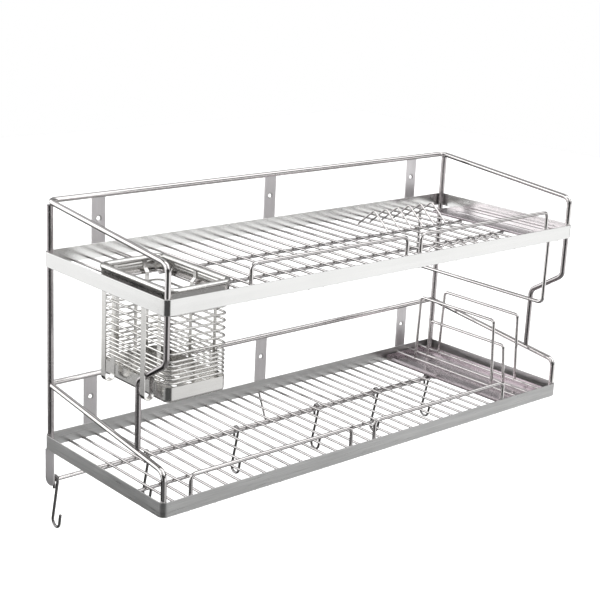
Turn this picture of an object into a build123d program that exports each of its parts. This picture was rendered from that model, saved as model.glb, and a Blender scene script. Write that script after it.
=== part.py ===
from build123d import *
import os
from math import atan2, cos, degrees, radians, sin

# Two-shelf wall-hung dish drying rack, millimetres.
#
# X runs along the rack, -Y points to the front, +Z is up. The wall is the plane Y = 0.
# The origin is the middle screw hole of the lower row of wall strips, on the wall.

# ---- driving dimensions -------------------------------------------------------------
rack_length = 800.0
rack_depth = 288.0
shelf_rise = 268.0          # bottom of the lower band to bottom of the upper band
lower_hole_height = 61.0    # lower screw holes above the bottom of the lower band
upper_hole_height = 324.0   # upper screw holes above the bottom of the lower band
band_height = 21.0
band_thickness = 1.5
band_corner_radius = 10.0
band_edge_round = 0.5

guard_rod_radius = 4.0
post_radius = 4.5
front_guard_radius = 2.75
side_bar_radius = 3.0
cross_wire_radius = 1.8
long_rod_radius = 2.5
divider_radius = 2.5
rack_wire_radius = 1.5
hook_rail_radius = 3.0
hook_wire_radius = 2.1
running_gap = 0.3           # clearance between pieces that move past each other

# ---- heights and faces worked out from them -------------------------------------------
z_low = -lower_hole_height
z_up = z_low + shelf_rise
half_length = rack_length / 2
strip_thickness = 2.0
band_back = -strip_thickness
band_front = -rack_depth
inner_back = band_back - band_thickness
inner_front = band_front + band_thickness
inner_side = half_length - band_thickness
band_middle = (band_front + band_back) / 2

lower_wire_pitch = 22.5
lower_wire_count = 35
lower_wire_first = -380.0
upper_wire_pitch = 26.5
upper_wire_count = 29
upper_wire_last = 364.5
wire_rise = 1.0             # wire centre above the bottom of the band
lower_wire_x = [lower_wire_first + i * lower_wire_pitch for i in range(lower_wire_count)]
upper_wire_x = [upper_wire_last - i * upper_wire_pitch for i in range(upper_wire_count)]
wire_top = wire_rise + cross_wire_radius
long_rod_y = (-194.0, -104.0)
long_rod_drop = wire_rise - cross_wire_radius - long_rod_radius


def corner_inset(rod_radius):
    """Distance from a band's outer faces to a rod that nestles in its rounded corner."""
    inner_radius = band_corner_radius - band_thickness
    return band_corner_radius - (inner_radius - rod_radius) * sin(radians(45))


guard_x = half_length - corner_inset(guard_rod_radius)
guard_front_y = band_front + corner_inset(guard_rod_radius)
post_x = half_length - corner_inset(post_radius)
post_y = band_back - corner_inset(post_radius)
rear_rail_y = -strip_thickness - guard_rod_radius
rod_start = 10.5            # guard rods are welded inside the band from this height up

made = []


def save(part, name):
    """Label a finished piece and write it to its own STEP file."""
    part.label = name
    os.makedirs("parts", exist_ok=True)
    export_step(part, f"parts/{name}.step")
    made.append(name)


def straight_rod(start, end, radius):
    """Round rod between two points."""
    axis = Vector(*end) - Vector(*start)
    with BuildPart() as rod:
        with BuildSketch(Plane(origin=start, z_dir=axis)):
            Circle(radius)
        extrude(amount=axis.length)
    return rod.part


def bent_rod(points, bends, radius):
    """Round rod along straight runs joined by arcs, one bend radius for each corner."""
    with BuildPart() as rod:
        with BuildLine() as path:
            FilletPolyline(*points, radius=bends)
        with BuildSketch(Plane(origin=path.line @ 0, z_dir=path.line % 0)):
            Circle(radius)
        sweep()
    return rod.part


def rod_group(pieces):
    """Several separate rods kept together as one node."""
    return Compound(children=pieces)


# ---- shelf bands ------------------------------------------------------------------------
def shelf_band(z_bottom):
    """Flat strip bent to a rectangle with rounded corners."""
    with BuildPart() as band:
        with BuildSketch(Plane.XY.offset(z_bottom)):
            with Locations((0, band_middle)):
                RectangleRounded(rack_length, band_back - band_front, band_corner_radius)
                RectangleRounded(
                    rack_length - 2 * band_thickness,
                    band_back - band_front - 2 * band_thickness,
                    band_corner_radius - band_thickness,
                    mode=Mode.SUBTRACT,
                )
        extrude(amount=band_height)
        fillet(edges().group_by(Axis.Z)[-1] + edges().group_by(Axis.Z)[0], band_edge_round)
    return band.part


save(shelf_band(z_low), "lower_band")
save(shelf_band(z_up), "upper_band")

# ---- cutlery basket sizes, because the upper wires make room for it -----------------------
basket_left = -380.0
basket_right = -277.2
basket_front = -265.6
basket_back = -106.0
basket_corner = 14.0
rim_thickness = 1.0
rim_top = 26.3              # above the bottom of the upper band
carrier_inset = 0.8         # carrier rod centre inside the rim's outer face
carrier_left_x = basket_left + carrier_inset
carrier_right_x = basket_right - carrier_inset
carrier_back_y = basket_back - carrier_inset
carrier_front_y = basket_front + carrier_inset
clear_of_carrier = 3.0      # first full cross wire is at least this far from the carrier


# ---- shelf wires ------------------------------------------------------------------------
def cross_wire(x, z_bottom, y_start=inner_front, y_end=inner_back):
    """One wire in the depth direction, butted against the inside of the band."""
    z = z_bottom + wire_rise
    return straight_rod((x, y_start, z), (x, y_end, z), cross_wire_radius)


def upper_wires():
    """Full wires right of the basket, short ones behind it."""
    wires = []
    for x in upper_wire_x:
        if x > carrier_right_x + clear_of_carrier:
            wires.append(cross_wire(x, z_up))
        elif x > carrier_left_x + clear_of_carrier and x < carrier_right_x - clear_of_carrier:
            wires.append(cross_wire(x, z_up, y_start=carrier_back_y + cross_wire_radius))
    return wires


save(rod_group([cross_wire(x, z_low) for x in lower_wire_x]), "lower_cross_wires")
save(rod_group(upper_wires()), "upper_cross_wires")


def long_rods(z_bottom, x_start, x_end):
    """Two rods along the rack, welded under the cross wires."""
    z = z_bottom + long_rod_drop
    return [straight_rod((x_start, y, z), (x_end, y, z), long_rod_radius) for y in long_rod_y]


rod_overhang = 3.0          # long rods run this far past the outermost wires
save(
    rod_group(long_rods(z_low, lower_wire_x[0] - rod_overhang, lower_wire_x[-1] + rod_overhang)),
    "lower_long_rods",
)
upper_rod_end = upper_wire_last - upper_wire_pitch + rod_overhang   # clear of the knife slots
save(rod_group(long_rods(z_up, carrier_right_x, upper_rod_end)), "upper_long_rods")


def basket_carrier():
    """Four rods round the cut-out that the cutlery basket hangs in."""
    z = z_up + wire_rise
    inner_left = carrier_left_x + cross_wire_radius
    inner_right = carrier_right_x - cross_wire_radius
    return [
        cross_wire(carrier_left_x, z_up),
        cross_wire(carrier_right_x, z_up),
        straight_rod((inner_left, carrier_back_y, z), (inner_right, carrier_back_y, z), cross_wire_radius),
        straight_rod((inner_left, carrier_front_y, z), (inner_right, carrier_front_y, z), cross_wire_radius),
    ]


save(rod_group(basket_carrier()), "basket_carrier")

# ---- guard rails, posts and struts ----------------------------------------------------------
upper_guard_rear = 359.0    # rod heights above the bottom of the lower band
upper_guard_front = 332.0
lower_guard_rear = 96.5
lower_guard_front = 60.5
guard_front_bend = 13.0
guard_rear_bend = 12.0
rail_end_x = 370.0          # where a side rail's bent end meets the straight rear rail
post_foot = 1.0             # rear posts start this far above the bottom of the lower band
post_top_gap = 1.5          # room for the weld under the upper rear rail
weld_gap = 0.6              # room for a weld bead where a rod end meets another rod


def upper_side_rail(side):
    """Front post, sloping side and the bend into the rear rail."""
    x = side * guard_x
    points = [
        (x, guard_front_y, z_up + rod_start),
        (x, guard_front_y, z_low + upper_guard_front),
        (x, rear_rail_y, z_low + upper_guard_rear),
        (side * rail_end_x, rear_rail_y, z_low + upper_guard_rear),
    ]
    return bent_rod(points, [guard_front_bend, guard_rear_bend], guard_rod_radius)


def lower_side_rail(side):
    """Front post and sloping side that ends against the rear post."""
    x = side * guard_x
    slope = (lower_guard_rear - lower_guard_front) / (rear_rail_y - guard_front_y)
    end_y = post_y - post_radius - guard_rod_radius * slope
    end_z = z_low + lower_guard_front + slope * (end_y - guard_front_y)
    points = [
        (x, guard_front_y, z_low + rod_start),
        (x, guard_front_y, z_low + lower_guard_front),
        (x, end_y, end_z),
    ]
    return bent_rod(points, [guard_front_bend], guard_rod_radius)


for side, word in ((-1, "left"), (1, "right")):
    save(upper_side_rail(side), f"upper_side_rail_{word}")
    save(lower_side_rail(side), f"lower_side_rail_{word}")

upper_rear_z = z_low + upper_guard_rear
lower_rear_z = z_low + lower_guard_rear
save(
    straight_rod((-rail_end_x, rear_rail_y, upper_rear_z), (rail_end_x, rear_rail_y, upper_rear_z),
                 guard_rod_radius),
    "upper_rear_rail",
)
lower_rail_end = post_x - post_radius
save(
    straight_rod((-lower_rail_end, rear_rail_y, lower_rear_z), (lower_rail_end, rear_rail_y, lower_rear_z),
                 guard_rod_radius),
    "lower_rear_rail",
)


def rear_post(side):
    """Upright in the rear corner, from the lower band to the underside of the upper rail."""
    x = side * post_x
    top = upper_rear_z - guard_rod_radius - post_top_gap
    return straight_rod((x, post_y, z_low + post_foot), (x, post_y, top), post_radius)


strut_kick_top = 204.0      # heights above the bottom of the lower band
strut_kick_bottom = 166.5
strut_lower_y = -222.5
strut_bend = 14.0


def front_strut(side):
    """Rod that drops from the upper front corner, steps back and stands on the lower side rail."""
    x = side * guard_x
    slope = (lower_guard_rear - lower_guard_front) / (rear_rail_y - guard_front_y)
    rail_z = z_low + lower_guard_front + slope * (strut_lower_y - guard_front_y)
    points = [
        (x, guard_front_y, z_up + rod_start),
        (x, guard_front_y, z_low + strut_kick_top),
        (x, strut_lower_y, z_low + strut_kick_bottom),
        (x, strut_lower_y, rail_z + guard_rod_radius + weld_gap),
    ]
    return bent_rod(points, [strut_bend, strut_bend], guard_rod_radius)


for side, word in ((-1, "left"), (1, "right")):
    save(rear_post(side), f"rear_post_{word}")
    save(front_strut(side), f"front_strut_{word}")

# ---- front guards -----------------------------------------------------------------------------
front_guard_height = 48.0   # rail centre above the bottom of its band
front_guard_start = 4.0
front_guard_bend = 8.0
front_guard_y = inner_front + front_guard_radius
front_guard_span = 285.5


def front_guard(x_left, z_bottom):
    """Inverted U wire welded behind the front of a band."""
    x_right = x_left + front_guard_span
    z_rail = z_bottom + front_guard_height
    points = [
        (x_left, front_guard_y, z_bottom + front_guard_start),
        (x_left, front_guard_y, z_rail),
        (x_right, front_guard_y, z_rail),
        (x_right, front_guard_y, z_bottom + front_guard_start),
    ]
    return bent_rod(points, [front_guard_bend, front_guard_bend], front_guard_radius)


front_guards = (
    ("upper_left", -264.0, z_up),
    ("upper_right", 49.5, z_up),
    ("lower_left", -352.0, z_low),
    ("lower_right", -20.0, z_low),
)
for word, x_left, z_bottom in front_guards:
    save(front_guard(x_left, z_bottom), f"front_guard_{word}")

# ---- hanging side bar under the upper shelf -----------------------------------------------------
side_bar_x = 345.0
side_bar_drop = 101.0
side_bar_bend = 9.0
side_bar_end = 3.9          # the bar's ends stop this far above the bottom of the band


def side_bar():
    """U bar that hangs under the right end of the upper shelf, front to back."""
    y_front = inner_front + side_bar_radius
    y_back = inner_back - side_bar_radius
    z_end = z_up + side_bar_end
    points = [
        (side_bar_x, y_front, z_end),
        (side_bar_x, y_front, z_up - side_bar_drop),
        (side_bar_x, y_back, z_up - side_bar_drop),
        (side_bar_x, y_back, z_end),
    ]
    return bent_rod(points, [side_bar_bend, side_bar_bend], side_bar_radius)


save(side_bar(), "hanging_side_bar")

# ---- wall strips ---------------------------------------------------------------------------------
strip_width = 22.0
strip_corner = 3.0
screw_hole_radius = 3.2
screw_sink_radius = 5.0
screw_sink_depth = 0.9
screw_sink_angle = 2 * degrees(atan2(screw_sink_radius - screw_hole_radius, screw_sink_depth))
upper_strip_pitch = 315.0
upper_strip_shift = 5.0
lower_strip_pitch = 322.0
strip_top_margin = 2.0      # strip stands this far above the rail's centre line


def wall_strip(x, z_bottom, z_top, z_hole):
    """Flat strip behind the band and the rear rail, with a countersunk screw hole."""
    with BuildPart() as strip:
        with BuildSketch(Plane.XZ):
            with Locations((x, (z_bottom + z_top) / 2)):
                RectangleRounded(strip_width, z_top - z_bottom, strip_corner)
        extrude(amount=strip_thickness)
        with Locations(Plane(origin=(x, -strip_thickness, z_hole), z_dir=(0, -1, 0))):
            Hole(screw_hole_radius)
            CounterSinkHole(screw_hole_radius, screw_sink_radius, counter_sink_angle=screw_sink_angle)
    return strip.part


for index, word in ((-1, "left"), (0, "middle"), (1, "right")):
    upper_x = upper_strip_shift + index * upper_strip_pitch
    lower_x = index * lower_strip_pitch
    save(
        wall_strip(upper_x, z_up, upper_rear_z + strip_top_margin, z_low + upper_hole_height),
        f"wall_strip_upper_{word}",
    )
    save(wall_strip(lower_x, z_low, lower_rear_z + strip_top_margin, 0.0), f"wall_strip_lower_{word}")

# ---- hook rail under the lower shelf ----------------------------------------------------------------
rail_y = -14.0
rail_drop = 47.5
end_plate_width = 22.0
end_plate_drop = 52.5
end_plate_round = 9.0
end_plate_inset = 4.0       # plate's rear edge in front of the band's back
rail_z = z_low - rail_drop


def hook_rail_end(side):
    """Flat end plate below the band's end, rounded at the bottom."""
    plate_back = band_back - end_plate_inset
    with BuildPart() as plate:
        with BuildSketch(Plane.YZ.offset(side * half_length)):
            with Locations((plate_back - end_plate_width / 2, z_low - end_plate_drop / 2)):
                Rectangle(end_plate_width, end_plate_drop)
            lowest = vertices().group_by(Axis.Y)[0]
            fillet(lowest, end_plate_round)
        extrude(amount=-side * band_thickness)
    return plate.part


for side, word in ((-1, "left"), (1, "right")):
    save(hook_rail_end(side), f"hook_rail_end_{word}")
save(straight_rod((-inner_side, rail_y, rail_z), (inner_side, rail_y, rail_z), hook_rail_radius), "hook_rail")

stay_radius = 1.8
stay_x = (-4.0, 5.0)        # the stay leans a little sideways
stay_wall_gap = 0.2
stay_rise = 2.0             # its upper end above the bottom of the lower band
stay_rail_shift = 0.5       # its lower end stands this far behind the rail's centre line
stay_top = (stay_x[0], inner_back - stay_radius - stay_wall_gap, z_low + stay_rise)
stay_bottom = (stay_x[1], rail_y + stay_rail_shift, rail_z + hook_rail_radius + weld_gap)
save(straight_rod(stay_top, stay_bottom, stay_radius), "hook_rail_stay")

# ---- S hooks -----------------------------------------------------------------------------------------
hook_loop_radius = hook_rail_radius + running_gap + hook_wire_radius
hook_mouth_radius = 9.0
hook_leg_length = 63.0
hook_leg_lean = 17.0        # degrees from upright before the hook finds its balance
hook_tail_length = 15.0
hook_tip_length = 15.0
hook_tip_lean = 15.0
hook_x = (-388.0, -229.0, -56.0, 117.0, 257.0, 386.0)


def on_circle(centre, radius, angle):
    """Point of a circle in the hook's own (Y, Z) plane."""
    turn = radians(angle)
    return (centre[0] + radius * cos(turn), centre[1] + radius * sin(turn))


def s_hook(x):
    """S hook whose small loop rides on the rail and whose big loop opens to the front."""
    lean = radians(hook_leg_lean)
    leg_start = on_circle((0, 0), hook_loop_radius, 180 + hook_leg_lean)
    leg_end = (leg_start[0] + hook_leg_length * sin(lean), leg_start[1] - hook_leg_length * cos(lean))
    mouth = (leg_end[0] - hook_mouth_radius * cos(lean), leg_end[1] - hook_mouth_radius * sin(lean))
    tip_start = on_circle(mouth, hook_mouth_radius, 180 + hook_tip_lean)
    tip_turn = radians(hook_tip_lean)
    tip_end = (tip_start[0] - hook_tip_length * sin(tip_turn), tip_start[1] + hook_tip_length * cos(tip_turn))
    with BuildPart() as hook:
        with BuildLine(Plane.YZ) as path:
            Line((hook_loop_radius, -hook_tail_length), (hook_loop_radius, 0))
            ThreePointArc((hook_loop_radius, 0), on_circle((0, 0), hook_loop_radius, 90), leg_start)
            Line(leg_start, leg_end)
            ThreePointArc(leg_end, on_circle(mouth, hook_mouth_radius, -90), tip_start)
            Line(tip_start, tip_end)
        with BuildSketch(Plane(origin=path.line @ 0, z_dir=path.line % 0)):
            Circle(hook_wire_radius)
        sweep()
    balance = path.line.center(CenterOf.MASS)
    tilt = -degrees(atan2(balance.Y, -balance.Z))
    return hook.part.moved(Location((x, rail_y, rail_z), (tilt, 0, 0)))


for number, x in enumerate(hook_x, start=1):
    save(s_hook(x), f"s_hook_{number}")

# ---- cutlery basket ---------------------------------------------------------------------------------
ring_radius = 1.5
bar_thickness = 1.5
bar_width = 6.0
ring_outset = 3.1           # rings stand this far inside the rim's outer face
ring_top = -10.3            # highest ring below the bottom of the upper band
ring_wide_pitch = 10.2
ring_narrow_pitch = 5.8
ring_wide_count = 7
ring_narrow_count = 5
pan_top = -105.0
pan_height = 21.0
pan_thickness = 1.0
pan_foot_round = 4.0
drain_radius = 4.0
drain_columns = 3
drain_rows = 5
drain_pitch_x = 24.0
drain_pitch_y = 26.0
side_bar_offset = 52.0      # outer flat bars of a long side from the middle one
end_bar_offset = 24.0       # flat bars of a short side from its middle
rim_bottom = wire_top + running_gap
basket_x = (basket_left + basket_right) / 2
basket_y = (basket_front + basket_back) / 2
basket_width = basket_right - basket_left
basket_depth = basket_back - basket_front
ring_heights = [ring_top - i * ring_wide_pitch for i in range(ring_wide_count)]
ring_heights += [ring_heights[-1] - (i + 1) * ring_narrow_pitch for i in range(ring_narrow_count)]


def basket_rim():
    """Deep strip round the top of the basket, whose lower edge sits on the carrier rods."""
    with BuildPart() as rim:
        with BuildSketch(Plane.XY.offset(z_up + rim_bottom)):
            with Locations((basket_x, basket_y)):
                RectangleRounded(basket_width, basket_depth, basket_corner)
                RectangleRounded(
                    basket_width - 2 * rim_thickness,
                    basket_depth - 2 * rim_thickness,
                    basket_corner - rim_thickness,
                    mode=Mode.SUBTRACT,
                )
        extrude(amount=rim_top - rim_bottom)
    return rim.part


def ring_wire(height):
    """One closed wire round the basket."""
    inset = ring_outset + ring_radius
    with BuildSketch(Plane(origin=(basket_x, basket_y, z_up + height))) as outline:
        RectangleRounded(basket_width - 2 * inset, basket_depth - 2 * inset, basket_corner - inset)
    path = outline.sketch.face().outer_wire()
    with BuildPart() as ring:
        with BuildSketch(Plane(origin=path @ 0, z_dir=path % 0)):
            Circle(ring_radius)
        sweep(path=path)
    return ring.part


def basket_pan():
    """Pressed base: a low wall all round and a floor with drain holes."""
    outer_x = basket_width - 2 * ring_outset
    outer_y = basket_depth - 2 * ring_outset
    corner = basket_corner - ring_outset
    with BuildPart() as pan:
        with BuildSketch(Plane.XY.offset(z_up + pan_top - pan_height)):
            with Locations((basket_x, basket_y)):
                RectangleRounded(outer_x, outer_y, corner)
        extrude(amount=pan_height)
        fillet(edges().group_by(Axis.Z)[0], pan_foot_round)
        with BuildSketch(Plane.XY.offset(z_up + pan_top - pan_height + pan_thickness)):
            with Locations((basket_x, basket_y)):
                RectangleRounded(
                    outer_x - 2 * pan_thickness,
                    outer_y - 2 * pan_thickness,
                    corner - pan_thickness,
                )
        extrude(amount=pan_height, mode=Mode.SUBTRACT)
        with Locations((basket_x, basket_y, z_up + pan_top - pan_height + pan_thickness)):
            with GridLocations(drain_pitch_x, drain_pitch_y, drain_columns, drain_rows):
                Hole(drain_radius, depth=2 * pan_thickness)
    return pan.part


bar_step = ring_outset + 2 * ring_radius - rim_thickness
bar_bend_height = rim_bottom + 5.5     # where a bar leaves the rim and steps inwards
bar_foot = pan_top - pan_height + pan_thickness
bar_head = rim_top - 3.0               # its upper end, below the rim's top edge


def bar_profile(face, inward):
    """Points of a flat bar seen along its width: on the rim, stepped in, down to the pan floor."""
    outer = face + inward * rim_thickness
    stepped = outer + inward * bar_step
    thick = inward * bar_thickness
    rise = abs(bar_step)
    return [
        (outer, z_up + bar_head),
        (outer + thick, z_up + bar_head),
        (outer + thick, z_up + bar_bend_height),
        (stepped + thick, z_up + bar_bend_height - rise),
        (stepped + thick, z_up + bar_foot),
        (stepped, z_up + bar_foot),
        (stepped, z_up + bar_bend_height - rise),
        (outer, z_up + bar_bend_height),
    ]


def side_bars(face, inward):
    """Three flat bars down one long side of the basket."""
    bars = []
    for y in (basket_y - side_bar_offset, basket_y, basket_y + side_bar_offset):
        with BuildPart() as bar:
            with BuildSketch(Plane.XZ.offset(-y - bar_width / 2)):
                with BuildLine():
                    Polyline(*bar_profile(face, inward), close=True)
                make_face()
            extrude(amount=bar_width)
        bars.append(bar.part)
    return bars


def end_bars(face, inward):
    """Two flat bars down one short side of the basket."""
    bars = []
    for x in (basket_x - end_bar_offset, basket_x + end_bar_offset):
        with BuildPart() as bar:
            with BuildSketch(Plane.YZ.offset(x - bar_width / 2)):
                with BuildLine():
                    Polyline(*bar_profile(face, inward), close=True)
                make_face()
            extrude(amount=bar_width)
        bars.append(bar.part)
    return bars


save(basket_rim(), "basket_rim")
save(rod_group([ring_wire(h) for h in ring_heights]), "basket_ring_wires")
save(rod_group(side_bars(basket_left, 1)), "basket_bars_left")
save(rod_group(side_bars(basket_right, -1)), "basket_bars_right")
save(rod_group(end_bars(basket_back, -1)), "basket_bars_back")
save(basket_pan(), "basket_base_pan")

# ---- chopping board hooks on the left end -------------------------------------------------------------
board_hook_width = 9.5
board_hook_thickness = 1.2
board_hook_gap = 13.5
board_hook_drop = 124.0
board_hook_return = 23.0
board_hook_top = 18.0


def board_hook(y):
    """Flat strip bent to a J: down from the band's inside, round and up again."""
    left = -inner_side
    left_inner = left + board_hook_thickness
    right_inner = left_inner + board_hook_gap
    right = right_inner + board_hook_thickness
    middle_x = (left + right) / 2
    middle_z = z_up - board_hook_drop + board_hook_thickness + board_hook_gap / 2
    head = z_up + board_hook_top
    tip = middle_z + board_hook_return
    outer_low = (middle_x, z_up - board_hook_drop)
    inner_low = (middle_x, z_up - board_hook_drop + board_hook_thickness)
    with BuildPart() as hook:
        with BuildSketch(Plane.XZ.offset(-y - board_hook_width / 2)):
            with BuildLine():
                Line((left, head), (left, middle_z))
                ThreePointArc((left, middle_z), outer_low, (right, middle_z))
                Polyline((right, middle_z), (right, tip), (right_inner, tip), (right_inner, middle_z))
                ThreePointArc((right_inner, middle_z), inner_low, (left_inner, middle_z))
                Polyline((left_inner, middle_z), (left_inner, head), (left, head))
            make_face()
        extrude(amount=board_hook_width)
    return hook.part


board_hook_rear_y = -149.5
board_hook_front_y = -238.0
save(board_hook(board_hook_rear_y), "board_hook_rear")
save(board_hook(board_hook_front_y), "board_hook_front")

# ---- drip tray and lid dividers on the lower shelf --------------------------------------------------------
tray_left = 283.0
tray_right = 387.5
tray_front = -280.0
tray_back = -6.0
tray_height = 8.0
tray_thickness = 0.8
tray_corner = 5.0
tray_foot_round = 0.7
tray_bottom = wire_top + running_gap


def drip_tray():
    """Shallow open tray that lies on the lower cross wires."""
    width = tray_right - tray_left
    depth = tray_back - tray_front
    centre = ((tray_left + tray_right) / 2, (tray_front + tray_back) / 2)
    with BuildPart() as tray:
        with BuildSketch(Plane.XY.offset(z_low + tray_bottom)):
            with Locations(centre):
                RectangleRounded(width, depth, tray_corner)
        extrude(amount=tray_height)
        fillet(edges().group_by(Axis.Z)[0], tray_foot_round)
        with BuildSketch(Plane.XY.offset(z_low + tray_bottom + tray_thickness)):
            with Locations(centre):
                RectangleRounded(width - 2 * tray_thickness, depth - 2 * tray_thickness,
                                 tray_corner - tray_thickness)
        extrude(amount=tray_height, mode=Mode.SUBTRACT)
    return tray.part


save(drip_tray(), "drip_tray")

divider_wire_rise = tray_bottom + tray_height + running_gap + cross_wire_radius
divider_foot_gap = 0.2
divider_foot = divider_wire_rise + cross_wire_radius + divider_foot_gap
divider_x = (311.0, 341.0, 371.0)
divider_heights = (125.0, 77.0, 125.0)   # above the bottom of the lower band
divider_top_y = (-55.0, -217.0)
divider_foot_y = (-51.0, -223.0)
divider_bend = 6.0


def divider_base_wires():
    """Wires over the tray that the dividers stand on."""
    z = z_low + divider_wire_rise
    return [straight_rod((x, inner_front, z), (x, inner_back, z), cross_wire_radius) for x in divider_x]


def lid_divider(x, height):
    """Inverted U wire with slightly splayed legs."""
    points = [
        (x, divider_foot_y[0], z_low + divider_foot),
        (x, divider_top_y[0], z_low + height),
        (x, divider_top_y[1], z_low + height),
        (x, divider_foot_y[1], z_low + divider_foot),
    ]
    return bent_rod(points, [divider_bend, divider_bend], divider_radius)


save(rod_group(divider_base_wires()), "divider_base_wires")
for number, (x, height) in enumerate(zip(divider_x, divider_heights), start=1):
    save(lid_divider(x, height), f"lid_divider_{number}")

# ---- plate rack and knife plate on the upper shelf --------------------------------------------------------
rack_left = 145.0           # the uprights stand on every cross wire between these
rack_right = 300.0
rack_x = sorted(x for x in upper_wire_x if rack_left < x < rack_right)
rack_bend = 3.0
peak_y = -85.0
peak_rise = 32.0            # above the bottom of the upper band
half_base = 34.0
wave_y = -232.0
wave_rise = 5.0
wave_bend = 5.0


def upright_wires():
    """A row of inverted V wires, each standing on its own cross wire."""
    foot_z = z_up + wire_top + 0.8 * rack_wire_radius
    row = []
    for x in rack_x:
        points = [
            (x, peak_y - half_base, foot_z),
            (x, peak_y, z_up + peak_rise),
            (x, peak_y + half_base, foot_z),
        ]
        row.append(bent_rod(points, [rack_bend], rack_wire_radius))
    return row


def wavy_stop():
    """Low wavy wire that keeps the plates' lower edges apart, its troughs on the cross wires."""
    trough_z = z_up + wire_top + rack_wire_radius
    start_x = rack_x[0] - upper_wire_pitch
    points = [(start_x, wave_y, trough_z)]
    for x in [start_x] + rack_x[:-1]:
        points.append((x + upper_wire_pitch / 2, wave_y, trough_z + wave_rise))
        points.append((x + upper_wire_pitch, wave_y, trough_z))
    return bent_rod(points, [wave_bend] * (len(points) - 2), rack_wire_radius)


save(rod_group(upright_wires()), "plate_rack_uprights")
save(wavy_stop(), "plate_rack_wave")

knife_left = 326.0
knife_right = 396.0
knife_front = -250.0
knife_back = -48.0
knife_top = 6.7
knife_thickness = 1.2
knife_corner = 9.0
knife_edge_round = 1.5
slot_width = 6.0
slot_length = 168.0
slot_x = (357.5, 381.0)
slot_middle_y = -159.0


def knife_plate():
    """Shallow inverted tray with two long slots that lie between the cross wires."""
    width = knife_right - knife_left
    depth = knife_back - knife_front
    centre = ((knife_left + knife_right) / 2, (knife_front + knife_back) / 2)
    with BuildPart() as plate:
        with BuildSketch(Plane.XY.offset(z_up + wire_top)):
            with Locations(centre):
                RectangleRounded(width, depth, knife_corner)
        extrude(amount=knife_top - wire_top)
        fillet(edges().group_by(Axis.Z)[-1], knife_edge_round)
        with BuildSketch(Plane.XY.offset(z_up + wire_top)):
            with Locations(centre):
                RectangleRounded(width - 2 * knife_thickness, depth - 2 * knife_thickness,
                                 knife_corner - knife_thickness)
        extrude(amount=knife_top - wire_top - knife_thickness, mode=Mode.SUBTRACT)
        with BuildSketch(Plane.XY.offset(z_up + wire_top)):
            with Locations(*[(x, slot_middle_y) for x in slot_x]):
                SlotOverall(slot_length, slot_width, rotation=90)
        extrude(amount=knife_top, mode=Mode.SUBTRACT)
    return plate.part


save(knife_plate(), "knife_plate")

print(len(made), "nodes written")
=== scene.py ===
import math

import bmesh
import bpy
from mathutils import Matrix, Vector


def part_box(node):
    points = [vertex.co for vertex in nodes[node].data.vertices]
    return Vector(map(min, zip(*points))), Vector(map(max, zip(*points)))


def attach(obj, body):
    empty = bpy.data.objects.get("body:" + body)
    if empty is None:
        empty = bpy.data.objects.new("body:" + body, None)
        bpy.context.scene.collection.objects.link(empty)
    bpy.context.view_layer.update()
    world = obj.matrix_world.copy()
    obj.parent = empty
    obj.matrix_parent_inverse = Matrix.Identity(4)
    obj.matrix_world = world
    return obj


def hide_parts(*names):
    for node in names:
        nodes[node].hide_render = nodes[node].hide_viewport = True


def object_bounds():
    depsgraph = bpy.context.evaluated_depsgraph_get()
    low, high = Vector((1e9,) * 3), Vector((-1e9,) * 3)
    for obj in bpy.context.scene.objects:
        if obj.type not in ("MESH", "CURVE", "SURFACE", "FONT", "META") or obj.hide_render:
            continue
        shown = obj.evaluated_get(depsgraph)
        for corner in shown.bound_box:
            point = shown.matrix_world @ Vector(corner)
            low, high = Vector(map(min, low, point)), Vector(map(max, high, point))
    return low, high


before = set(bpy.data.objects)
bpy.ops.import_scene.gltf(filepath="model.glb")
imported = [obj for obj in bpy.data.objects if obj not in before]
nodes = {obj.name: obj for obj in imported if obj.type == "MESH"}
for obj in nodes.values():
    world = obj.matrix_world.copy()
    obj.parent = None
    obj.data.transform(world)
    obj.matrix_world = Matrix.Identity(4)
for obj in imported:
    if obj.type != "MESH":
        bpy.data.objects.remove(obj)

cadBox = [list(corner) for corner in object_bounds()]
print("frame loaded:", len(nodes), "nodes")


# small helpers for node trees

def newSocketGroup(name, inputs, outputs):
    tree = bpy.data.node_groups.new(name, "ShaderNodeTree")
    for label, kind, value in inputs:
        socket = tree.interface.new_socket(name=label, in_out="INPUT", socket_type=kind)
        if value is not None:
            socket.default_value = value
    for label, kind in outputs:
        tree.interface.new_socket(name=label, in_out="OUTPUT", socket_type=kind)
    return tree, tree.nodes.new("NodeGroupInput"), tree.nodes.new("NodeGroupOutput")


def addMath(tree, operation, first, second):
    node = tree.nodes.new("ShaderNodeMath")
    node.operation = operation
    for socket, value in zip(node.inputs, (first, second)):
        if isinstance(value, (int, float)):
            socket.default_value = value
        else:
            tree.links.new(value, socket)
    return node.outputs[0]


def addNoise(tree, vector, scale, detail=3.0, rough=0.55):
    node = tree.nodes.new("ShaderNodeTexNoise")
    node.inputs["Detail"].default_value = detail
    node.inputs["Roughness"].default_value = rough
    tree.links.new(vector, node.inputs["Vector"])
    if isinstance(scale, (int, float)):
        node.inputs["Scale"].default_value = scale
    else:
        tree.links.new(scale, node.inputs["Scale"])
    return node.outputs["Fac"]


# fine drawn lines: a noise stretched along one direction of the given vector
grainLook = {"fineDetail": 4.0, "fineRough": 0.65, "wideScale": 0.12, "wideDetail": 2.0, "wideRough": 0.5}


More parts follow.
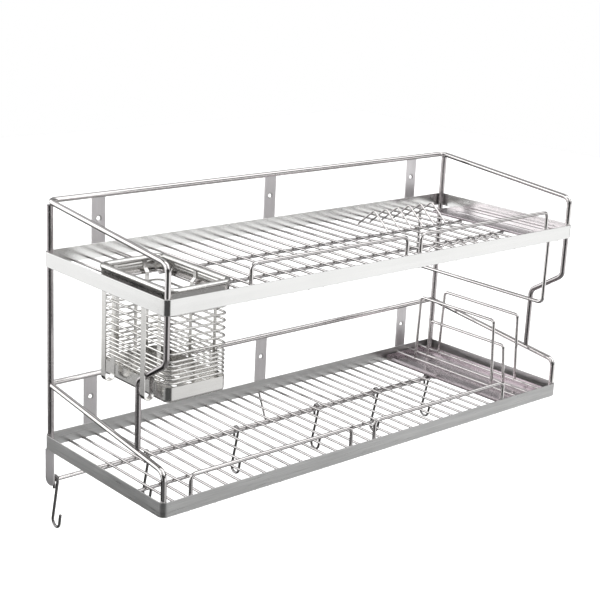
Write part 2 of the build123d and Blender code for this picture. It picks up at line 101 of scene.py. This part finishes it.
def makeGrainGroup():
    look = grainLook
    tree, start, end = newSocketGroup(
        "drawnGrain",
        [("Vector", "NodeSocketVector", None), ("Stretch", "NodeSocketVector", (1.0, 1.0, 1.0)),
         ("Scale", "NodeSocketFloat", 400.0), ("Contrast", "NodeSocketFloat", 1.0)],
        [("Grain", "NodeSocketFloat"), ("Streak", "NodeSocketFloat")],
    )
    mapping = tree.nodes.new("ShaderNodeVectorMath")
    mapping.operation = "MULTIPLY"
    tree.links.new(start.outputs["Vector"], mapping.inputs[0])
    tree.links.new(start.outputs["Stretch"], mapping.inputs[1])
    stretched = mapping.outputs[0]
    wideScale = addMath(tree, "MULTIPLY", start.outputs["Scale"], look["wideScale"])
    fine = addNoise(tree, stretched, start.outputs["Scale"], look["fineDetail"], look["fineRough"])
    wide = addNoise(tree, stretched, wideScale, look["wideDetail"], look["wideRough"])
    centred = addMath(tree, "SUBTRACT", fine, 0.5)
    grain = addMath(tree, "ADD", addMath(tree, "MULTIPLY", centred, start.outputs["Contrast"]), 0.5)
    tree.links.new(grain, end.inputs["Grain"])
    tree.links.new(wide, end.inputs["Streak"])
    return tree


# soft smears and small scuffs that break up a polish
smearLook = {
    "cloudDetail": 5.0, "cloudRough": 0.6, "cloudFrom": (0.42, 0.68), "scuffScale": 9.0, "scuffWidth": 0.02,
}


def makeSmearGroup():
    look = smearLook
    tree, start, end = newSocketGroup(
        "handlingSmear",
        [("Vector", "NodeSocketVector", None), ("Size", "NodeSocketFloat", 14.0)],
        [("Smear", "NodeSocketFloat"), ("Scuff", "NodeSocketFloat")],
    )
    vector, size = start.outputs["Vector"], start.outputs["Size"]
    cloud = addNoise(tree, vector, size, look["cloudDetail"], look["cloudRough"])
    ramp = tree.nodes.new("ShaderNodeMapRange")
    ramp.inputs["From Min"].default_value, ramp.inputs["From Max"].default_value = look["cloudFrom"]
    tree.links.new(cloud, ramp.inputs["Value"])
    cells = tree.nodes.new("ShaderNodeTexVoronoi")
    cells.feature = "DISTANCE_TO_EDGE"
    tree.links.new(start.outputs["Vector"], cells.inputs["Vector"])
    tree.links.new(addMath(tree, "MULTIPLY", start.outputs["Size"], look["scuffScale"]), cells.inputs["Scale"])
    line = tree.nodes.new("ShaderNodeMapRange")
    line.inputs["From Min"].default_value = 0.0
    line.inputs["From Max"].default_value = look["scuffWidth"]
    line.inputs["To Min"].default_value = 1.0
    line.inputs["To Max"].default_value = 0.0
    tree.links.new(cells.outputs["Distance"], line.inputs["Value"])
    tree.links.new(ramp.outputs["Result"], end.inputs["Smear"])
    scuff = addMath(tree, "MULTIPLY", line.outputs["Result"], ramp.outputs["Result"])
    tree.links.new(scuff, end.inputs["Scuff"])
    return tree


grainGroup = makeGrainGroup()
smearGroup = makeSmearGroup()


# what every steel finish has in common
steelShared = {"streakShare": 0.6, "grainShare": 0.4, "scuffRough": 0.12, "bumpDistance": 0.0002, "ior": 1.5}


def makeSteel(name, look):
    shared = steelShared
    material = bpy.data.materials.new(name)
    material.use_nodes = True
    tree = material.node_tree
    tree.nodes.clear()
    output = tree.nodes.new("ShaderNodeOutputMaterial")
    shader = tree.nodes.new("ShaderNodeBsdfPrincipled")
    tree.links.new(shader.outputs[0], output.inputs["Surface"])
    shader.inputs["Metallic"].default_value = 1.0
    shader.inputs["IOR"].default_value = shared["ior"]
    coords = tree.nodes.new("ShaderNodeTexCoord").outputs["Object"]
    if look.get("aroundBand"):
        # run the grain along the strip: X + Y grows along every side of the loop
        split = tree.nodes.new("ShaderNodeSeparateXYZ")
        join = tree.nodes.new("ShaderNodeCombineXYZ")
        tree.links.new(coords, split.inputs[0])
        tree.links.new(addMath(tree, "ADD", split.outputs["X"], split.outputs["Y"]), join.inputs["X"])
        tree.links.new(split.outputs["Z"], join.inputs["Z"])
        grainCoords = join.outputs[0]
    else:
        grainCoords = coords
    grain = tree.nodes.new("ShaderNodeGroup")
    grain.node_tree = grainGroup
    grain.inputs["Stretch"].default_value = look["stretch"]
    grain.inputs["Scale"].default_value = look["grainScale"]
    grain.inputs["Contrast"].default_value = look["contrast"]
    tree.links.new(grainCoords, grain.inputs["Vector"])
    smear = tree.nodes.new("ShaderNodeGroup")
    smear.node_tree = smearGroup
    smear.inputs["Size"].default_value = look["smearSize"]
    tree.links.new(coords, smear.inputs["Vector"])

    tone = tree.nodes.new("ShaderNodeMix")
    tone.data_type = "RGBA"
    tone.inputs["A"].default_value = (*look["dark"], 1.0)
    tone.inputs["B"].default_value = (*look["light"], 1.0)
    streak = addMath(tree, "MULTIPLY", grain.outputs["Streak"], shared["streakShare"])
    lines = addMath(tree, "MULTIPLY", grain.outputs["Grain"], shared["grainShare"])
    tree.links.new(addMath(tree, "ADD", streak, lines), tone.inputs["Factor"])
    tree.links.new(tone.outputs["Result"], shader.inputs["Base Color"])

    rough = addMath(tree, "MULTIPLY", grain.outputs["Grain"], look["roughSpread"])
    rough = addMath(tree, "ADD", rough, look["rough"])
    smeared = addMath(tree, "MULTIPLY", smear.outputs["Smear"], look["smearRough"])
    scuffed = addMath(tree, "MULTIPLY", smear.outputs["Scuff"], shared["scuffRough"])
    rough = addMath(tree, "ADD", rough, smeared)
    rough = addMath(tree, "ADD", rough, scuffed)
    tree.links.new(rough, shader.inputs["Roughness"])

    bump = tree.nodes.new("ShaderNodeBump")
    bump.inputs["Strength"].default_value = look["bump"]
    bump.inputs["Distance"].default_value = shared["bumpDistance"]
    tree.links.new(grain.outputs["Grain"], bump.inputs["Height"])
    tree.links.new(bump.outputs["Normal"], shader.inputs["Normal"])
    return material


brightRod = {
    "light": (0.90, 0.88, 0.87), "dark": (0.70, 0.67, 0.67), "stretch": (1.0, 1.0, 1.0), "grainScale": 700.0,
    "contrast": 0.8, "rough": 0.06, "roughSpread": 0.06, "smearSize": 18.0, "smearRough": 0.04, "bump": 0.08,
}
steelLooks = {
    "rodAlongX": dict(brightRod, stretch=(0.05, 1.0, 1.0)),
    "rodAlongY": dict(brightRod, stretch=(1.0, 0.05, 1.0)),
    "rodAlongZ": dict(brightRod, stretch=(1.0, 1.0, 0.05)),
    "rodBent": dict(brightRod, rough=0.07),
    # the long rods under the shelves: the same steel as the wires, painted darker as painted shade where the
    # shelf above shades them
    "underRodPaintedShade": dict(brightRod, stretch=(0.05, 1.0, 1.0), light=(0.62, 0.60, 0.60), dark=(0.34, 0.33, 0.33)),
    "postSatin": dict(brightRod, light=(0.66, 0.63, 0.63), dark=(0.46, 0.43, 0.44), rough=0.17),
    "hookDark": dict(brightRod, light=(0.46, 0.45, 0.45), dark=(0.24, 0.23, 0.23), rough=0.10),
    "bandMirror": {
        "light": (0.93, 0.93, 0.92), "dark": (0.80, 0.80, 0.79), "stretch": (0.02, 1.0, 1.0),
        "grainScale": 900.0, "contrast": 0.7, "rough": 0.14, "roughSpread": 0.06, "smearSize": 9.0,
        "smearRough": 0.05, "bump": 0.06, "aroundBand": True,
    },
    # the lower band: partly a real brushed finish (rougher, grain bumped), partly painted shade, its darker
    # tone standing in for the dark room it reflects
    "bandSatinAndShade": {
        "light": (0.86, 0.86, 0.85), "dark": (0.34, 0.34, 0.34), "stretch": (0.02, 1.0, 1.0),
        "grainScale": 700.0, "contrast": 2.2, "rough": 0.22, "roughSpread": 0.20, "smearSize": 9.0,
        "smearRough": 0.08, "bump": 0.45, "aroundBand": True,
    },
    "stripSatin": {
        "light": (0.84, 0.82, 0.83), "dark": (0.62, 0.60, 0.61), "stretch": (1.0, 1.0, 0.03),
        "grainScale": 600.0, "contrast": 1.2, "rough": 0.26, "roughSpread": 0.14, "smearSize": 22.0,
        "smearRough": 0.08, "bump": 0.2,
    },
    "traySatin": {
        "light": (0.86, 0.80, 0.83), "dark": (0.62, 0.56, 0.59), "stretch": (1.0, 0.03, 1.0),
        "grainScale": 500.0, "contrast": 1.1, "rough": 0.12, "roughSpread": 0.12, "smearSize": 12.0,
        "smearRough": 0.10, "bump": 0.15,
    },
    "weldBead": {
        "light": (0.58, 0.55, 0.53), "dark": (0.30, 0.28, 0.27), "stretch": (1.0, 1.0, 1.0),
        "grainScale": 1500.0, "contrast": 1.6, "rough": 0.30, "roughSpread": 0.20, "smearSize": 60.0,
        "smearRough": 0.10, "bump": 0.5,
    },
    "basketBright": {
        "light": (0.90, 0.89, 0.87), "dark": (0.72, 0.71, 0.69), "stretch": (0.2, 0.2, 1.0),
        "grainScale": 600.0, "contrast": 0.8, "rough": 0.15, "roughSpread": 0.08, "smearSize": 20.0,
        "smearRough": 0.06, "bump": 0.08,
    },
}
steel = {name: makeSteel(name, look) for name, look in steelLooks.items()}
print("steel finishes:", len(steel))

# which finish each CAD node wears; the first matching start of its name wins
finishes = [
    ("upper_band", "bandMirror"), ("lower_band", "bandSatinAndShade"),
    ("upper_cross_wires", "rodAlongY"), ("lower_cross_wires", "rodAlongY"), ("divider_base_wires", "rodAlongY"),
    # the long rods under the shelves wear the darker copy: painted shade
    ("upper_long_rods", "underRodPaintedShade"), ("lower_long_rods", "underRodPaintedShade"), ("s_hook", "hookDark"),
    ("upper_rear_rail", "rodAlongX"), ("lower_rear_rail", "rodAlongX"), ("hook_rail_end", "stripSatin"),
    ("hook_rail_stay", "rodAlongZ"), ("hook_rail", "rodAlongX"), ("rear_post", "postSatin"),
    ("front_strut", "postSatin"),
    ("wall_strip", "stripSatin"), ("board_hook", "basketBright"),
    ("drip_tray", "traySatin"), ("knife_plate", "traySatin"),
    ("basket_carrier", "rodBent"), ("basket", "basketBright"),
    ("", "rodBent"),
]
for name, thing in nodes.items():
    finish = next(value for start, value in finishes if name.startswith(start))
    thing.data.materials.clear()
    thing.data.materials.append(steel[finish])
print("finishes on CAD nodes")


# helpers for geometry trees

def newGeometryTree(name, inputs):
    tree = bpy.data.node_groups.new(name, "GeometryNodeTree")
    tree.is_modifier = True
    tree.interface.new_socket(name="Geometry", in_out="INPUT", socket_type="NodeSocketGeometry")
    for label, kind, value in inputs:
        socket = tree.interface.new_socket(name=label, in_out="INPUT", socket_type=kind)
        if value is not None:
            socket.default_value = value
    tree.interface.new_socket(name="Geometry", in_out="OUTPUT", socket_type="NodeSocketGeometry")
    return tree, tree.nodes.new("NodeGroupInput"), tree.nodes.new("NodeGroupOutput")


def endGeometryTree(tree, start, end, geometry):
    realize = tree.nodes.new("GeometryNodeRealizeInstances")
    paint = tree.nodes.new("GeometryNodeSetMaterial")
    tree.links.new(geometry, realize.inputs["Geometry"])
    tree.links.new(realize.outputs["Geometry"], paint.inputs["Geometry"])
    tree.links.new(start.outputs["Material"], paint.inputs["Material"])
    tree.links.new(paint.outputs["Geometry"], end.inputs["Geometry"])


def bakePiece(name, points, tree, values, body):
    mesh = bpy.data.meshes.new(name)
    mesh.from_pydata(points, [], [])
    piece = bpy.data.objects.new(name, mesh)
    bpy.context.scene.collection.objects.link(piece)
    modifier = piece.modifiers.new("build", "NODES")
    modifier.node_group = tree
    for item in tree.interface.items_tree:
        if item.in_out == "INPUT" and item.name in values:
            modifier[item.identifier] = values[item.name]
    ready = piece.evaluated_get(bpy.context.evaluated_depsgraph_get())
    built = bpy.data.meshes.new_from_object(ready)
    piece.modifiers.remove(modifier)
    piece.data = built
    bpy.data.meshes.remove(mesh)
    shell = bmesh.new()
    shell.from_mesh(built)
    bmesh.ops.recalc_face_normals(shell, faces=shell.faces)
    shell.to_mesh(built)
    shell.free()
    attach(piece, body)
    print(name, len(built.polygons), "faces")
    return piece


# a section swept round a rectangle with rounded corners
def makeLoopTree():
    tree, start, end = newGeometryTree("loopSweep", [
        ("Width", "NodeSocketFloat", 0.1), ("Depth", "NodeSocketFloat", 0.1),
        ("Corner", "NodeSocketFloat", 0.01),
        ("Corner Steps", "NodeSocketInt", 10), ("Centre", "NodeSocketVector", None),
        ("Section", "NodeSocketObject", None), ("Material", "NodeSocketMaterial", None),
    ])
    outline = tree.nodes.new("GeometryNodeCurvePrimitiveQuadrilateral")
    tree.links.new(start.outputs["Width"], outline.inputs["Width"])
    tree.links.new(start.outputs["Depth"], outline.inputs["Height"])
    rounded = tree.nodes.new("GeometryNodeFilletCurve")
    rounded.mode = "POLY"
    tree.links.new(outline.outputs["Curve"], rounded.inputs["Curve"])
    tree.links.new(start.outputs["Corner Steps"], rounded.inputs["Count"])
    tree.links.new(start.outputs["Corner"], rounded.inputs["Radius"])
    upright = tree.nodes.new("GeometryNodeSetCurveNormal")
    upright.mode = "Z_UP"
    tree.links.new(rounded.outputs["Curve"], upright.inputs["Curve"])
    section = tree.nodes.new("GeometryNodeObjectInfo")
    tree.links.new(start.outputs["Section"], section.inputs["Object"])
    sweep = tree.nodes.new("GeometryNodeCurveToMesh")
    tree.links.new(upright.outputs["Curve"], sweep.inputs["Curve"])
    tree.links.new(section.outputs["Geometry"], sweep.inputs["Profile Curve"])
    place = tree.nodes.new("GeometryNodeTransform")
    tree.links.new(sweep.outputs["Mesh"], place.inputs["Geometry"])
    tree.links.new(start.outputs["Centre"], place.inputs["Translation"])
    smooth = tree.nodes.new("GeometryNodeSetShadeSmooth")
    tree.links.new(place.outputs["Geometry"], smooth.inputs["Geometry"])
    endGeometryTree(tree, start, end, smooth.outputs["Geometry"])
    return tree


# the basket's rim: a strip that stands on the carrier rods, its upper edge rolled over
rimLook = {
    "gauge": 0.001, "rollCentre": -0.0026, "rollRadius": 0.0046, "corner": 0.014, "cornerSteps": 12,
    "curlEnd": 200.0, "arcSteps": 16,
}


def arcPoints(centre, radius, start, stop, steps):
    turns = [math.radians(start + (stop - start) * i / steps) for i in range(steps + 1)]
    return [(centre[0] + radius * math.cos(turn), centre[1] + radius * math.sin(turn)) for turn in turns]


def rimSection(height):
    look = rimLook
    radius, gauge = look["rollRadius"], look["gauge"]
    centre = (look["rollCentre"], height - radius)
    outerStart = -math.degrees(math.acos(-centre[0] / radius))
    innerStart = -math.degrees(math.acos((-centre[0] - gauge) / (radius - gauge)))
    outer = arcPoints(centre, radius, outerStart, look["curlEnd"], look["arcSteps"])
    inner = arcPoints(centre, radius - gauge, look["curlEnd"], innerStart, look["arcSteps"])
    return [(0.0, 0.0)] + outer + inner + [(-gauge, 0.0)]


def makeRim():
    low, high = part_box("basket_rim")
    points = rimSection(high[2] - low[2])
    curve = bpy.data.curves.new("rimSection", "CURVE")
    spline = curve.splines.new("POLY")
    spline.points.add(len(points) - 1)
    for point, (outward, rise) in zip(spline.points, points):
        point.co = (outward, -rise, 0.0, 1.0)
    spline.use_cyclic_u = True
    section = bpy.data.objects.new("rimSection", curve)
    bpy.context.scene.collection.objects.link(section)
    rim = bakePiece("basketRim", [(0.0, 0.0, 0.0)], makeLoopTree(), {
        "Width": high[0] - low[0], "Depth": high[1] - low[1], "Corner": rimLook["corner"],
        "Corner Steps": rimLook["cornerSteps"], "Section": section, "Material": steel["basketBright"],
        "Centre": ((low[0] + high[0]) / 2, (low[1] + high[1]) / 2, low[2]),
    }, "basket")
    bpy.data.objects.remove(section)
    bpy.data.curves.remove(curve)
    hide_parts("basket_rim")


# a small lump of weld metal on every point, no two alike
lumpLook = {"segments": 9, "rings": 5}


def makeWeldTree():
    tree, start, end = newGeometryTree("weldNuggets", [
        ("Radius", "NodeSocketFloat", 0.002), ("Shape", "NodeSocketVector", (1.0, 1.0, 1.0)),
        ("Uneven", "NodeSocketFloat", 0.2), ("Seed", "NodeSocketInt", 1),
        ("Material", "NodeSocketMaterial", None),
    ])
    lump = tree.nodes.new("GeometryNodeMeshUVSphere")
    lump.inputs["Segments"].default_value = lumpLook["segments"]
    lump.inputs["Rings"].default_value = lumpLook["rings"]
    tree.links.new(start.outputs["Radius"], lump.inputs["Radius"])
    smooth = tree.nodes.new("GeometryNodeSetShadeSmooth")
    tree.links.new(lump.outputs["Mesh"], smooth.inputs["Geometry"])
    size = tree.nodes.new("FunctionNodeRandomValue")
    size.data_type = "FLOAT"
    lowest, highest = size.inputs[2], size.inputs[3]
    tree.links.new(addMath(tree, "SUBTRACT", 1.0, start.outputs["Uneven"]), lowest)
    highest.default_value = 1.0
    tree.links.new(start.outputs["Seed"], size.inputs["Seed"])
    scaled = tree.nodes.new("ShaderNodeVectorMath")
    scaled.operation = "SCALE"
    tree.links.new(start.outputs["Shape"], scaled.inputs[0])
    tree.links.new(size.outputs[1], scaled.inputs["Scale"])
    scatter = tree.nodes.new("GeometryNodeInstanceOnPoints")
    tree.links.new(start.outputs["Geometry"], scatter.inputs["Points"])
    tree.links.new(smooth.outputs["Geometry"], scatter.inputs["Instance"])
    tree.links.new(scaled.outputs[0], scatter.inputs["Scale"])
    endGeometryTree(tree, start, end, scatter.outputs["Instances"])
    return tree


# where the shelves are welded, metres: wires along Y over two long rods, their ends on the band;
# a row of wires is its first X, its pitch and its count
weldLook = {
    "lowerX": (-0.380, 0.0225, 35), "upperX": (-0.2715, 0.0265, 25), "rodY": (-0.194, -0.104),
    "lowerZ": -0.061, "upperZ": 0.207, "endY": (-0.2862, -0.0038), "contactDrop": -0.0008, "wireRise": 0.001,
    "rodEndX": 0.345,
    "cross": {"Radius": 0.0023, "Shape": (0.8, 1.1, 0.75), "Uneven": 0.25, "Seed": 3},
    "end": {"Radius": 0.0027, "Shape": (1.0, 0.45, 0.85), "Uneven": 0.2, "Seed": 8},
}


def bakeWelds(name, points, tree, values, body):
    bakePiece(name, points, tree, dict(values, Material=steel["weldBead"]), body)


def wireRow(key):
    first, pitch, count = weldLook[key]
    return [first + pitch * i for i in range(count)]


def makeShelfWelds(tree):
    look = weldLook
    crossings = []
    ends = []
    for key, z in (("lowerX", look["lowerZ"]), ("upperX", look["upperZ"])):
        for x in wireRow(key):
            reachesRod = key == "lowerX" or x < look["rodEndX"]
            crossings += [(x, y, z + look["contactDrop"]) for y in look["rodY"] if reachesRod]
            ends += [(x, y, z + look["wireRise"]) for y in look["endY"]]
    bakeWelds("rodWelds", crossings, tree, look["cross"], "rack")
    bakeWelds("wireEndWelds", ends, tree, look["end"], "rack")


# beads where a rod's foot or end meets the band or another rod, metres
railWeldLook = {
    "guards": ("front_guard_upper_left", "front_guard_upper_right", "front_guard_lower_left",
               "front_guard_lower_right"),
    "guardRadius": 0.00275, "guardBack": 0.0006, "guardRises": (0.003, 0.012),
    "dividers": ("lid_divider_1", "lid_divider_2", "lid_divider_3"), "dividerRadius": 0.0026,
    "footRise": 0.0002,
    "rails": ("lower_side_rail_left", "lower_side_rail_right"), "railRadius": 0.0044, "railBack": 0.0004,
    "bead": {"Radius": 0.0031, "Shape": (1.0, 0.6, 0.7), "Uneven": 0.15, "Seed": 5},
}


def makeRailWelds(tree):
    look = railWeldLook
    beads = []
    for name in look["guards"]:
        low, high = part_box(name)
        for x in (low[0] + look["guardRadius"], high[0] - look["guardRadius"]):
            beads += [(x, low[1] + look["guardBack"], low[2] + rise) for rise in look["guardRises"]]
    for name in look["dividers"]:
        low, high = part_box(name)
        middle = (low[0] + high[0]) / 2
        for y in (low[1] + look["dividerRadius"], high[1] - look["dividerRadius"]):
            beads.append((middle, y, low[2] + look["footRise"]))
    for name in look["rails"]:
        low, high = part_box(name)
        beads.append(((low[0] + high[0]) / 2, high[1] - look["railBack"], high[2] - look["railRadius"]))
    bakeWelds("railWelds", beads, tree, look["bead"], "rack")


# spot welds where the basket's rings touch its flat bars
basketWeldLook = {
    "first": -0.0103, "widePitch": 0.0102, "wide": 7, "narrowPitch": 0.0058, "narrow": 5,
    "ringDepth": 0.003, "sideShifts": (-0.052, 0.0, 0.052), "endShifts": (-0.024, 0.024),
    "spot": {"Radius": 0.0013, "Shape": (1.0, 1.0, 0.9), "Uneven": 0.3, "Seed": 11},
}


def makeBasketWelds(tree):
    look = basketWeldLook
    heights = [look["first"] - look["widePitch"] * i for i in range(look["wide"])]
    heights += [heights[-1] - look["narrowPitch"] * (i + 1) for i in range(look["narrow"])]
    low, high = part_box("basket_ring_wires")
    centreX, centreY = (low[0] + high[0]) / 2, (low[1] + high[1]) / 2
    spots = []
    for z in (weldLook["upperZ"] + rise for rise in heights):
        for x in (low[0] + look["ringDepth"], high[0] - look["ringDepth"]):
            spots += [(x, centreY + shift, z) for shift in look["sideShifts"]]
        spots += [(centreX + shift, high[1] - look["ringDepth"], z) for shift in look["endShifts"]]
    bakeWelds("basketWelds", spots, tree, look["spot"], "basket")


makeRim()
weldTree = makeWeldTree()
makeShelfWelds(weldTree)
makeRailWelds(weldTree)
makeBasketWelds(weldTree)
print("rim and welds")


# room, light and camera
roomLook = {
    "floorDrop": 0.6, "low": (-4.0, -4.5), "high": (6.0, 6.0), "dull": (0.93, 0.93, 0.93),
    "clean": (0.96, 0.96, 0.96), "rough": 0.7, "cloudScale": 1.5,
}


def makeFloor():
    material = bpy.data.materials.new("paleFloor")
    material.use_nodes = True
    tree = material.node_tree
    shader = tree.nodes["Principled BSDF"]
    shader.inputs["Roughness"].default_value = roomLook["rough"]
    coords = tree.nodes.new("ShaderNodeTexCoord").outputs["Object"]
    tone = tree.nodes.new("ShaderNodeMix")
    tone.data_type = "RGBA"
    tone.inputs["A"].default_value = (*roomLook["dull"], 1.0)
    tone.inputs["B"].default_value = (*roomLook["clean"], 1.0)
    tree.links.new(addNoise(tree, coords, roomLook["cloudScale"]), tone.inputs["Factor"])
    tree.links.new(tone.outputs["Result"], shader.inputs["Base Color"])
    (left, front), (right, rear) = roomLook["low"], roomLook["high"]
    height = cadBox[0][2] - roomLook["floorDrop"]
    mesh = bpy.data.meshes.new("floor")
    corners = [(left, front, height), (right, front, height), (right, rear, height), (left, rear, height)]
    mesh.from_pydata(corners, [], [(0, 1, 2, 3)])
    mesh.materials.append(material)
    floor = bpy.data.objects.new("floor", mesh)
    bpy.context.scene.collection.objects.link(floor)
    floor.visible_glossy = False


lampLooks = {
    "topSoftbox": {"at": (-0.2, -0.5, 2.3), "aim": (0.0, -0.15, 0.1), "size": (2.0, 0.5), "power": 6.0},
    "leftSoftbox": {"at": (-2.6, -0.6, 1.3), "aim": (0.0, -0.15, 0.1), "size": (0.4, 1.6), "power": 4.0},
    "rightSoftbox": {"at": (1.4, -2.8, 1.4), "aim": (0.0, -0.15, 0.1), "size": (0.4, 1.6), "power": 4.0},
}
sunLook = {"turn": (8.0, -8.0), "spread": 80.0, "strength": 3.1}


def makeLamps():
    sky = bpy.data.lights.new("overheadSky", "SUN")
    sky.energy = sunLook["strength"]
    sky.angle = math.radians(sunLook["spread"])
    lamp = bpy.data.objects.new("overheadSky", sky)
    lamp.rotation_euler = (math.radians(sunLook["turn"][0]), math.radians(sunLook["turn"][1]), 0.0)
    lamp.visible_glossy = False
    bpy.context.scene.collection.objects.link(lamp)
    for name, look in lampLooks.items():
        light = bpy.data.lights.new(name, "AREA")
        light.shape = "RECTANGLE"
        light.size, light.size_y = look["size"]
        light.energy = look["power"]
        lamp = bpy.data.objects.new(name, light)
        lamp.location = look["at"]
        lamp.visible_camera = False
        towards = Vector(look["aim"]) - Vector(look["at"])
        lamp.rotation_euler = towards.to_track_quat("-Z", "Y").to_euler()
        bpy.context.scene.collection.objects.link(lamp)


# the room that the steel mirrors: four walls, each a ramp of brightness from underfoot to overhead
wallLooks = {
    "frontRight": {"towards": (0.667, -0.745, 0.0), "stops": (
        (0.0, 0.30), (0.27, 0.34), (0.35, 1.05), (0.50, 1.05), (0.56, 0.05), (0.72, 0.05), (0.78, 1.6),
        (0.93, 1.6), (1.0, 0.55))},
    "rearLeft": {"towards": (-0.667, 0.745, 0.0), "stops": (
        (0.0, 0.02), (0.32, 0.03), (0.35, 1.05), (0.45, 1.05), (0.53, 1.7), (0.80, 1.7), (0.84, 0.10),
        (1.0, 0.20))},
    "rearRight": {"towards": (0.745, 0.667, 0.0), "stops": (
        (0.0, 0.30), (0.25, 0.12), (0.38, 0.05), (0.54, 0.08), (0.61, 0.24), (0.68, 0.24), (0.80, 0.55),
        (1.0, 0.55))},
    "frontLeft": {"towards": (-0.745, -0.667, 0.0), "stops": (
        (0.0, 0.30), (0.25, 0.12), (0.38, 0.05), (0.70, 0.05), (0.80, 0.55), (1.0, 0.55))},
}


wallEdge = (0.60, 0.80)


def rampOf(tree, value, stops):
    ramp = tree.nodes.new("ShaderNodeValToRGB")
    first, last = ramp.color_ramp.elements
    first.position, first.color = stops[0][0], (*[stops[0][1]] * 3, 1.0)
    last.position, last.color = stops[-1][0], (*[stops[-1][1]] * 3, 1.0)
    for position, grey in stops[1:-1]:
        ramp.color_ramp.elements.new(position).color = (grey, grey, grey, 1.0)
    tree.links.new(value, ramp.inputs[0])
    return ramp.outputs["Color"]


def makeWorld():
    world = bpy.data.worlds.new("studio")
    bpy.context.scene.world = world
    world.use_nodes = True
    tree = world.node_tree
    tree.nodes.clear()
    output = tree.nodes.new("ShaderNodeOutputWorld")
    direction = tree.nodes.new("ShaderNodeTexCoord").outputs["Generated"]
    split = tree.nodes.new("ShaderNodeSeparateXYZ")
    tree.links.new(direction, split.inputs[0])
    flat = tree.nodes.new("ShaderNodeCombineXYZ")
    tree.links.new(split.outputs["X"], flat.inputs["X"])
    tree.links.new(split.outputs["Y"], flat.inputs["Y"])
    unit = tree.nodes.new("ShaderNodeVectorMath")
    unit.operation = "NORMALIZE"
    tree.links.new(flat.outputs[0], unit.inputs[0])
    height = addMath(tree, "ADD", addMath(tree, "MULTIPLY", split.outputs["Z"], 0.5), 0.5)
    colour = None
    for look in wallLooks.values():
        wall = rampOf(tree, height, look["stops"])
        if colour is None:
            colour = wall
            continue
        facing = tree.nodes.new("ShaderNodeVectorMath")
        facing.operation = "DOT_PRODUCT"
        tree.links.new(unit.outputs[0], facing.inputs[0])
        facing.inputs[1].default_value = look["towards"]
        choose = tree.nodes.new("ShaderNodeMapRange")
        choose.interpolation_type = "SMOOTHSTEP"
        choose.inputs["From Min"].default_value, choose.inputs["From Max"].default_value = wallEdge
        tree.links.new(facing.outputs["Value"], choose.inputs["Value"])
        blend = tree.nodes.new("ShaderNodeMix")
        blend.data_type = "RGBA"
        tree.links.new(choose.outputs["Result"], blend.inputs["Factor"])
        tree.links.new(colour, blend.inputs["A"])
        tree.links.new(wall, blend.inputs["B"])
        colour = blend.outputs["Result"]
    room = tree.nodes.new("ShaderNodeBackground")
    tree.links.new(colour, room.inputs["Color"])
    paper = tree.nodes.new("ShaderNodeBackground")
    paper.inputs["Color"].default_value = (1.0, 1.0, 1.0, 1.0)
    mixed = tree.nodes.new("ShaderNodeMixShader")
    tree.links.new(tree.nodes.new("ShaderNodeLightPath").outputs["Is Camera Ray"], mixed.inputs[0])
    tree.links.new(room.outputs[0], mixed.inputs[1])
    tree.links.new(paper.outputs[0], mixed.inputs[2])
    tree.links.new(mixed.outputs[0], output.inputs["Surface"])
    scene = bpy.context.scene
    scene.view_settings.view_transform = "Standard"
    scene.view_settings.look = "None"


cameraLook = {
    "azimuth": -41.87, "elevation": 15.67, "roll": 2.70, "at": (-1.3105, -1.5273, 0.6833),
    "lens": 79.27, "shift": (0.0155, -0.0229),
}


def makeCamera():
    azimuth, elevation, roll = (math.radians(cameraLook[key]) for key in ("azimuth", "elevation", "roll"))
    back = Vector((math.sin(azimuth) * math.cos(elevation), -math.cos(azimuth) * math.cos(elevation),
                   math.sin(elevation)))
    right = Vector((math.cos(azimuth), math.sin(azimuth), 0.0))
    up = back.cross(right)
    tiltedRight = right * math.cos(roll) + up * math.sin(roll)
    tiltedUp = up * math.cos(roll) - right * math.sin(roll)
    data = bpy.data.cameras.new("camera")
    data.sensor_width = 36.0
    data.lens = cameraLook["lens"]
    data.shift_x, data.shift_y = cameraLook["shift"]
    data.clip_start = 0.01
    camera = bpy.data.objects.new("camera", data)
    turn = Matrix((tiltedRight, tiltedUp, back)).transposed().to_4x4()
    camera.matrix_world = Matrix.Translation(cameraLook["at"]) @ turn
    bpy.context.scene.collection.objects.link(camera)
    bpy.context.scene.camera = camera


makeFloor()
makeLamps()
makeWorld()
makeCamera()
print("room, lamps and camera")
